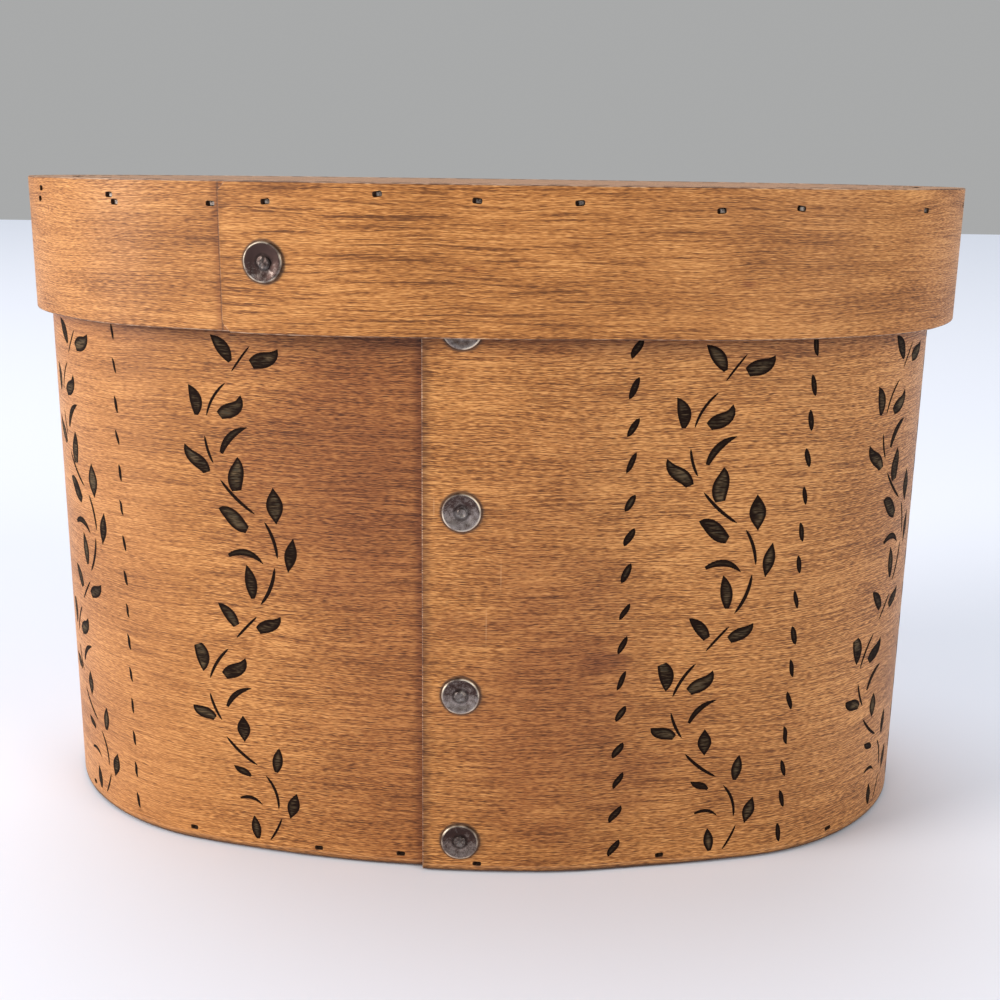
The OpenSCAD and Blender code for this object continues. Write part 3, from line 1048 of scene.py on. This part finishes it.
def brad_row(name, places, rail, soot):
    blank = brad_blank()
    draw = random.Random(11)
    copies = []
    for along, z in places:
        brad = copy_of(blank, Matrix())
        map_face(brad, draw.uniform(0, 9), soot)
        turn = Matrix.Rotation(draw.uniform(-BRAD_TURN, BRAD_TURN), 4, "Z")
        brad.data.transform(seat(along, z, rail) @ turn)
        copies.append(brad)
    drop_object(blank)
    row = joined(copies, name)
    dress(row, brad_finish)
    smooth(row, 30)
    return row


bottom_brad_row = brad_row("bottom_brad_row", body_brads, body_rail, 0.2)
lid_brad_row = brad_row("lid_brad_row", lid_brads, lid_rail, 0)
print("brads", len(bottom_brad_row.data.polygons) + len(lid_brad_row.data.polygons), "faces")

# %% [markdown]
# ## Stencilled ornament
# The body carries trailing vines, with columns of small lozenges between them: an old stencil pattern
# in thin dark paint. Paint is a layer that lies on the wood, so each mark is a thin closed plate, drawn
# flat and bent round the box with the strip. One blank grid is the start of every mark. Its columns
# follow the mark's spine, which may bow or curl, and its width swells from the tip and may stop short in
# a cut end, as a knife leaves it in stencil card.

# %% Draw one mark
PAINT_T = 0.06 * mm
PAINT_SUNK = 0.03 * mm
EDGE_NAME = "from_edge"
MARK_CELLS, MARK_ROWS = 10, 4
TIP = 0.05
# How full a mark's outline is, and the share of it that the cut end takes off
LEAF, CUT_LEAF, FAT_LEAF, RHOMB = (0.85, 0.08), (0.75, 0.17), (0.6, 0.1), (1.05, 0)
STEM, CRESCENT, LOZENGE = (0.3, 0), (0.7, 0.12), (0.52, 0)
blank = primitive(bpy.ops.mesh.primitive_grid_add, "mark", x_subdivisions=MARK_CELLS,
                  y_subdivisions=MARK_ROWS, size=1, rotation=(math.pi / 2, 0, 0), location=(0, 0, 0))


def draw_mark(shape, x, z, length, width, degrees, bow=0, side=0, curl=0):
    """A copy of the blank, from tip to cut end. Its spine bows and curls, and `side` swells its left."""
    fullness, cut = shape
    mark = copy_of(blank, Matrix())
    from_edge = []
    for vertex in mark.data.vertices:
        t, across = vertex.co.x + 0.5, 2 * vertex.co.z
        half = max(TIP, width / 2 * math.sin(math.pi * t * (1 - cut)) ** fullness)
        half *= 1 + side * (1 if across > 0 else -1)
        wave = 2 * math.pi * t
        slope = 4 * bow * (1 - 2 * t) + 2 * math.pi * curl * math.cos(wave)
        spine = Vector(((t - 0.5) * length, 0, bow * (4 * t * (1 - t) - 0.5) + curl * math.sin(wave)))
        vertex.co = (spine + across * half * Vector((-slope, 0, length)).normalized()) * mm
        from_edge.append(half * (1 - abs(across)))
    store(mark, EDGE_NAME, from_edge)
    turn = Matrix.Rotation(-math.radians(degrees), 4, "Y")
    mark.data.transform(Matrix.Translation((x * mm, 0, z * mm)) @ turn)
    return mark


def paint_layer(marks, name):
    """Joins marks and gives them the thickness of paint, just proud of the wood."""
    layer = joined(marks, name)
    layer.data.transform(Matrix.Translation((0, PAINT_SUNK - PAINT_T, 0)))
    modify(layer, "SOLIDIFY", thickness=PAINT_T, offset=-1)
    return layer


# %% [markdown]
# ## The vine
# One stencil makes a whole vine, and every vine on the box is the same. Each row below is one mark,
# measured from the vine's axis and from the top of the wall that shows: where its middle is, its length
# and width, and the way it points. Then come its bow, its swelling to the left and its curl. The pattern
# repeats once, 72.7 mm lower, with smaller leaves at the foot.

# %% The vine's marks
VINE_TOP = 147.8
# shape, across, down, length, width, degrees, bow, side, curl
VINE = [
    (LEAF, -3.4, 4.9, 8.6, 3.7, -52, 0.3, 0.2), (STEM, 2.1, 7.5, 8.6, 0.6, 52, 0.1),
    (CUT_LEAF, 8.9, 6.8, 8.5, 4.2, 208, 0.5, 0.2, 0.4), (LEAF, -12.1, 18.9, 8.2, 3.6, -77, 0.5, 0.35),
    (STEM, -5.7, 18.2, 10.7, 0.75, 57, 0.9), (CUT_LEAF, -1.2, 20.0, 8.4, 4.0, 220, 0.8, 0.35, 0.5),
    (CRESCENT, -1.0, 28.6, 10.6, 2.1, 224, -1.4), (STEM, -8.1, 32.1, 7.6, 0.8, -73, -0.4),
    (CUT_LEAF, -11.8, 34.5, 9.8, 3.8, -47, 0.1, -0.3, -0.5),
    (CUT_LEAF, 0.1, 38.1, 9.2, 4.5, -92, 0, -0.15, 0.3),
    (STEM, -0.3, 44.6, 13.0, 0.95, -42, -0.6), (RHOMB, 10.4, 46.1, 9.9, 4.8, -86),
    (FAT_LEAF, -1.7, 50.5, 9.8, 4.3, -34, 0.2, 0.1, 0.3), (STEM, 9.4, 55.5, 10.4, 0.95, -71, 0.7),
    (CRESCENT, 1.8, 60.6, 10.2, 1.9, 171, -2.0), (RHOMB, 14.5, 59.4, 9.7, 3.5, -100),
    (STEM, 8.1, 68.7, 11.6, 1.05, -112, 0.9), (LEAF, 2.6, 67.7, 9.5, 3.5, -81, 0.2, 0.1),
    (CUT_LEAF, -4.5, 77.6, 7.9, 3.3, -50, 0.3, 0.2), (STEM, 1.1, 80.8, 9.1, 0.75, 47, 0.1),
    (CUT_LEAF, 7.9, 79.3, 8.0, 3.6, 213, 0.4, 0.1, 0.3), (CUT_LEAF, -13.4, 91.3, 7.9, 4.2, 103, -0.3, -0.35),
    (STEM, -7.9, 92.1, 11.1, 0.9, 57, 0.7), (CUT_LEAF, -2.8, 92.9, 8.7, 4.0, 220, 0.6, 0.25, 0.4),
    (CRESCENT, -2.3, 101.2, 9.9, 1.6, 220, -1.3), (STEM, -9.4, 105.4, 8.3, 0.85, -66, -0.4),
    (FAT_LEAF, -13.0, 107.3, 7.4, 3.5, -24, 0, -0.1, -0.3), (RHOMB, -0.9, 110.9, 7.8, 4.0, -88),
    (STEM, -1.9, 117.9, 11.9, 0.95, -39, -0.6), (LEAF, 9.0, 119.2, 7.5, 3.1, -98),
    (LEAF, -1.8, 123.7, 5.8, 2.2, -28, 0, 0, -0.2), (STEM, 7.6, 129.0, 10.5, 0.85, -70, 1.1),
    (CRESCENT, 0.7, 132.2, 6.8, 1.1, 170, -1.2), (RHOMB, 13.3, 132.6, 8.1, 3.6, -105),
    (STEM, 8.0, 140.5, 8.0, 0.7, -117, 0.3), (LEAF, 1.8, 140.6, 7.1, 2.9, -82)]


def place_on_body(layer, along, name):
    """Moves a flat layer to its place on the strip, maps it like the wood under it and bends it."""
    copy = copy_of(layer, Matrix.Translation((rail_x(body_rail, along), 0, 0)))
    copy.name = copy.data.name = name
    map_wood(copy, BODY_LAP_AT)
    bend(copy, body_rail)
    return copy


# %% [markdown]
# ## Laying the stencils
# Each vine is a copy of the first one, moved along the flat strip to its place and bent with it. Four of
# them stand where the front shows them, and six more share out the back. Small lozenges run down beside
# the vines in columns. Each is drawn on its own, a little longer, wider or more turned than the next, as
# a stencil laid by hand again and again would leave them. One column has been rubbed thin.

# %% Lay the vines and the lozenges
FRONT_VINES = [-124.8 * mm, -62.5 * mm, 66 * mm, 127.8 * mm]
BACK_VINES = 6
BACK_STEP = (oval_length(0) + FRONT_VINES[0] - FRONT_VINES[-1]) / (BACK_VINES + 1)
vine_places = FRONT_VINES + [FRONT_VINES[-1] + BACK_STEP * (i + 1) for i in range(BACK_VINES)]
LOZENGES, LOZENGE_TOP, LOZENGE_STEP = 15, 145.3, 9.88
LOZENGE_ASIDE, LOZENGE_LEAN = 0.7, -0.0076
LOZENGE_FROM_VINE = 23.6 * mm
LONE_COLUMN = 41 * mm
# The widths and lengths of lozenges in millimetres
WIDE, USUAL, RUBBED, ON_LID = (1.9, 5.7), (1.7, 5.7), (1.05, 4.7), (2, 5.7)

draw = random.Random(5)
marks = [draw_mark(shape, across, VINE_TOP - down, *rest) for shape, across, down, *rest in VINE]
vine = paint_layer(marks, "vine")
stencil_vines = joined([place_on_body(vine, along, "vine") for along in vine_places], "stencil_vines")
drop_object(vine)


def lozenge_column(along, degrees, size):
    """A column of small lozenges that leans with the vine beside it."""
    width, length = size
    marks = []
    for i in range(LOZENGES):
        down = i * LOZENGE_STEP
        marks.append(draw_mark(
            LOZENGE, LOZENGE_ASIDE + LOZENGE_LEAN * down + draw.uniform(-0.25, 0.25),
            LOZENGE_TOP - down + draw.uniform(-0.5, 0.5), length * draw.uniform(0.9, 1.08),
            width * draw.uniform(0.8, 1.1), degrees + draw.uniform(-5, 5), curl=draw.uniform(-0.1, 0.25)))
    layer = paint_layer(marks, "column")
    column = place_on_body(layer, along, "column")
    drop_object(layer)
    return column


# The second vine stands beside the lap, where there is no column
columns = [lozenge_column(LONE_COLUMN, degrees=62, size=WIDE)]
for i, along in enumerate(vine_places):
    if i != 1:
        size = USUAL if i else RUBBED
        columns.append(lozenge_column(along + LOZENGE_FROM_VINE, degrees=102, size=size))
stencil_lozenges = joined(columns, "stencil_lozenges")
print("stencil", len(stencil_vines.data.polygons), "and", len(stencil_lozenges.data.polygons), "faces")

# %% [markdown]
# ## Stencil paint
# The paint is a brown black. It is thickest at each mark's rim, where the stencil held it. Inside, it is
# worn to a grey green along the grain, and a little of the wood's own tone shows through. The value
# stored with each mark gives the distance from its rim in millimetres.

# %% Paint finish
GREY_GREEN, BROWN_BLACK = (0.055, 0.06, 0.043, 1), (0.01, 0.004, 0.002, 1)
paint_finish, tree, shader = new_material("paint_finish")
place = wood_place(tree)
wood, out = wood_colour(place, STAINED, 0.4, 0.2)
grain_lines = noise(place, (0.3, 2.3, 1), 2, 0.6)
patches = noise(place, (0.12, 0.12, 1), 2)
thin = plus(times(grain_lines, 0.8), times(patches, 0.6))
worn = times(remap(thin, 0.58, 0.88), remap(stored(tree, EDGE_NAME), 0.35, 1.5))
colour = mix(times(worn, 0.9), BROWN_BLACK, mix(0.16, GREY_GREEN, wood))
fill(shader, {"Base Color": colour, "Roughness": 0.75, "Specular IOR Level": SHEEN / 5,
              "Normal": bumps(out["Height"], BUMP_STRENGTH, BUMP)})
for layer in (stencil_vines, stencil_lozenges):
    dress(layer, paint_finish)
print("paint finish has", len(tree.nodes), "nodes")

# %% [markdown]
# ## A border on the lid
# A plain ring of the same lozenges borders the lid's top, set in from its rim. Each one is drawn from
# the same blank, laid down flat and turned to follow the oval.

# %% Lozenges round the lid's top
RING_IN = 13 * mm
RING_STEP = 9.8 * mm
ring_grow = LID_OUT - RING_IN
ring_count = round(oval_length(ring_grow) / RING_STEP)
width, length = ON_LID
ring = []
for i in range(ring_count):
    point, angle = station(oval_length(ring_grow) * i / ring_count, ring_grow)
    mark = draw_mark(LOZENGE, 0, 0, length * draw.uniform(0.9, 1.05), width * draw.uniform(0.85, 1.05), 0)
    turn = Matrix.Rotation(angle + math.radians(90 + draw.uniform(-4, 4)), 4, "Z")
    lay_flat = turn @ Matrix.Rotation(-math.pi / 2, 4, "X")
    mark.data.transform(Matrix.Translation((point.x + LID_SHIFT, point.y, 0)) @ lay_flat)
    ring.append(mark)
lid_ring = joined(ring, "lid_ring")
modify(lid_ring, "SOLIDIFY", thickness=PAINT_T, offset=0)
lid_ring.data.transform(Matrix.Translation((0, 0, TOP_Z - BOARD_SUNK + PAINT_T / 4)))
map_flat(lid_ring)
dress(lid_ring, paint_finish)
drop_object(blank)
for rail in (body_rail, lid_rail):
    drop_object(rail["curve"])
print(ring_count, "lozenges round the lid")

# %% [markdown]
# ## Floor, light and camera
# The floor is plain and pale. A broad soft light stands in front to the left and a weaker one to the
# right. A very soft skylight from behind puts the front's shadow on the floor. The world fills the rest.
# The camera stands low in front, a little to the right, and looks down by about 14 degrees.

# %% The stage
floor = primitive(bpy.ops.mesh.primitive_plane_add, "floor", size=8, location=(0, 0, 0))
dress(floor, plain_material("floor_finish", (0.82, 0.84, 0.93), 0.7))

scene = bpy.context.scene
scene.view_settings.view_transform = "Standard"
world = bpy.data.worlds.new("room")
scene.world = world
world.use_nodes = True
fill(world.node_tree.nodes["Background"], {"Color": (0.94, 0.95, 0.95, 1), "Strength": 0.42})
SKY_ANGLE = math.radians(50)


def soft_light(name, place, aim, strength, colour, size=0):
    """A round area light with its strength in watts, or without a size a broad sun."""
    lamp = bpy.data.lights.new(name, "AREA" if size else "SUN")
    lamp.energy, lamp.color = strength, colour
    if size:
        lamp.shape, lamp.size = "DISK", size
    else:
        lamp.angle = SKY_ANGLE
    light = new_object(name, lamp)
    light.location = place
    light.rotation_euler = (Vector(aim) - Vector(place)).to_track_quat("-Z", "Y").to_euler()


soft_light("window", (-3.0, -1.3, 1.2), (0, 0, 0.08), 120, (1.0, 0.94, 0.88), 1.75)
soft_light("doorway", (2.2, -1.7, 1.25), (0, 0, 0.08), 35, (1.0, 0.95, 0.88), 1.8)
soft_light("skylight", (-0.3, 0.8, 1.7), (0, 0, 0), 1.5, (0.85, 0.93, 1))

# The camera's place in metres and its turns in radians, fitted to the photograph's outlines of the box
EYE = (0.02131, -0.40487, 0.18861)
HEADING, DOWN, ROLL = 0.0418, 0.25055, 0.01331
LENS, SENSOR = 46.59, 36
view = bpy.data.cameras.new("view")
view.lens, view.sensor_width, view.sensor_fit = LENS, SENSOR, "HORIZONTAL"
view.clip_start = 0.02
camera = new_object("view", view)
turn = Matrix.Rotation(HEADING, 4, "Z") @ Matrix.Rotation(math.pi / 2 - DOWN, 4, "X")
camera.matrix_world = Matrix.Translation(EYE) @ turn @ Matrix.Rotation(ROLL, 4, "Z")
scene.camera = camera
print("camera at", EYE)

# %% [markdown]
# ## Hand the pieces to the frame
# Each piece rides on the box or on the lid, and stands for the node that it replaces.

# %% Ride and replace
riders = [(body_band, "box", "band_wood", ["body_band"]), (bottom, "box", "board_wood", ["bottom_board"]),
          (bottom_brad_row, "box", "brad_steel", ["bottom_brads"]),
          (lid_band, "lid", "band_wood", ["lid_band"]), (lid_top, "lid", "board_wood", ["lid_board"]),
          (lid_brad_row, "lid", "brad_steel", ["lid_brads"])]
for key, (washer, rivet) in pairs.items():
    band = key.split("_")[0]
    where = "lid" if band == "lid" else "box"
    riders.append((washer, where, "washer_steel", [key.replace(band, f"{band}_washer")]))
    riders.append((rivet, where, "rivet_steel", [key.replace(band, f"{band}_rivet")]))
for piece, body, slot, replaced in riders:
    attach(piece, body)
    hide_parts(*replaced)
for layer, body in ((stencil_vines, "box"), (stencil_lozenges, "box"), (lid_ring, "lid")):
    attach(layer, body)
print(len(riders) + 3, "pieces ride")
